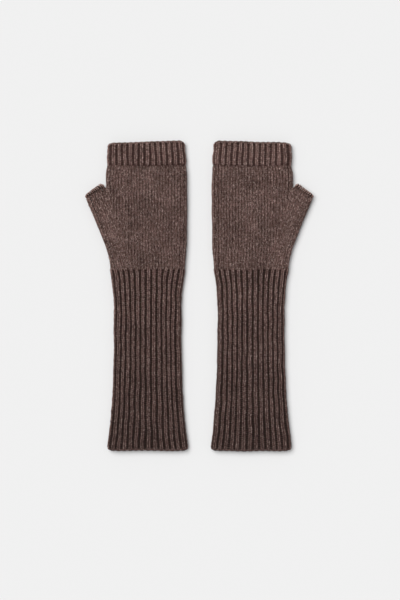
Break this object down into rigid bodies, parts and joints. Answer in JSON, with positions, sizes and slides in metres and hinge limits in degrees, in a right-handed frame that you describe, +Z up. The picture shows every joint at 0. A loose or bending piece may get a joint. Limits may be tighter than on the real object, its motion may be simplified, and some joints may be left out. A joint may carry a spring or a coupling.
{
  "type": "fingerless gloves",
  "caption": "Long ribbed wool fingerless gloves as a flat-lying pair, open at both ends, with a short thumb sleeve on each; wrists and thumbs fold.",
  "frame": {"origin": "on the table, under the middle of the pair", "axes": "+X across the pair towards the right-hand glove, +Y along the arms towards the fingers, +Z up from the table"},
  "size_m": [0.2526, 0.34, 0.01],
  "materials": {
    "ribbed_wool": "matt, hairy, ribbed knit of mottled dark brown wool",
    "plain_wool": "matt, hairy, plain knit of mottled brown wool",
    "edge_yarn": "matt chain of slightly lighter mottled brown wool",
    "seam_yarn": "matt, tightly linked dark brown wool"
  },
  "bodies": {
    "left_forearm": {"left_hem": "edge_yarn", "left_forearm_rib": "ribbed_wool", "left_forearm_seam": "seam_yarn"},
    "left_hand": {"left_wrist_rib": "ribbed_wool", "left_hand_knit": "plain_wool", "left_thumb_gusset": "plain_wool", "left_finger_band": "ribbed_wool", "left_cast_off_edge": "edge_yarn", "left_hand_seam": "seam_yarn"},
    "left_thumb": {"left_thumb_sleeve": "plain_wool", "left_thumb_cast_off": "edge_yarn"},
    "right_forearm": {"right_hem": "edge_yarn", "right_forearm_rib": "ribbed_wool", "right_forearm_seam": "seam_yarn"},
    "right_hand": {"right_wrist_rib": "ribbed_wool", "right_hand_knit": "plain_wool", "right_thumb_gusset": "plain_wool", "right_finger_band": "ribbed_wool", "right_cast_off_edge": "edge_yarn", "right_hand_seam": "seam_yarn"},
    "right_thumb": {"right_thumb_sleeve": "plain_wool", "right_thumb_cast_off": "edge_yarn"}
  },
  "joints": [
    {"name": "right_glove_lift", "type": "slide", "parent": "left_forearm", "child": "right_forearm", "axis": [0, 0, 1], "range_m": [0, 0.3]},
    {"name": "left_wrist_fold", "type": "hinge", "parent": "left_forearm", "child": "left_hand", "pos_m": [-0.0569, 0.01, 0.0105], "axis": [1, 0, 0], "range_deg": [0, 90]},
    {"name": "left_thumb_fold", "type": "hinge", "parent": "left_hand", "child": "left_thumb", "pos_m": [-0.0984, 0.03, 0.0105], "axis": [-0.0538, 0.9986, 0], "range_deg": [0, 60]},
    {"name": "right_wrist_fold", "type": "hinge", "parent": "right_forearm", "child": "right_hand", "pos_m": [0.0569, 0.01, 0.0105], "axis": [1, 0, 0], "range_deg": [0, 90]},
    {"name": "right_thumb_fold", "type": "hinge", "parent": "right_hand", "child": "right_thumb", "pos_m": [0.0984, 0.03, 0.0105], "axis": [-0.0538, -0.9986, 0], "range_deg": [0, 60]}
  ]
}
